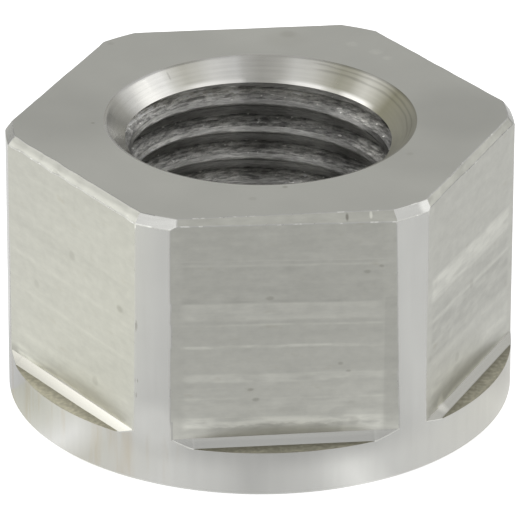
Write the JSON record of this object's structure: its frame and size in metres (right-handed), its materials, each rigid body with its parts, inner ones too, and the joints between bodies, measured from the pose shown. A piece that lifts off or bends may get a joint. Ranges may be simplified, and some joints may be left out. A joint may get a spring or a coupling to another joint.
{
  "type": "flywheel nut",
  "caption": "Thick steel nut turned from round bar, with milled spanner flats above a round seating collar, for clamping a flywheel onto a threaded shaft end.",
  "frame": {"origin": "on the thread's axis, in the plane of the base that seats on the flywheel", "axes": "+Z along the thread's axis from the base to the countersunk top face; -Y is the outward normal of the front flat"},
  "size_m": [0.021, 0.021, 0.012],
  "materials": {
    "machined_steel": "bare machined steel, turned and milled"
  },
  "bodies": {
    "root": {"flywheel_nut": "machined_steel"}
  },
  "joints": []
}
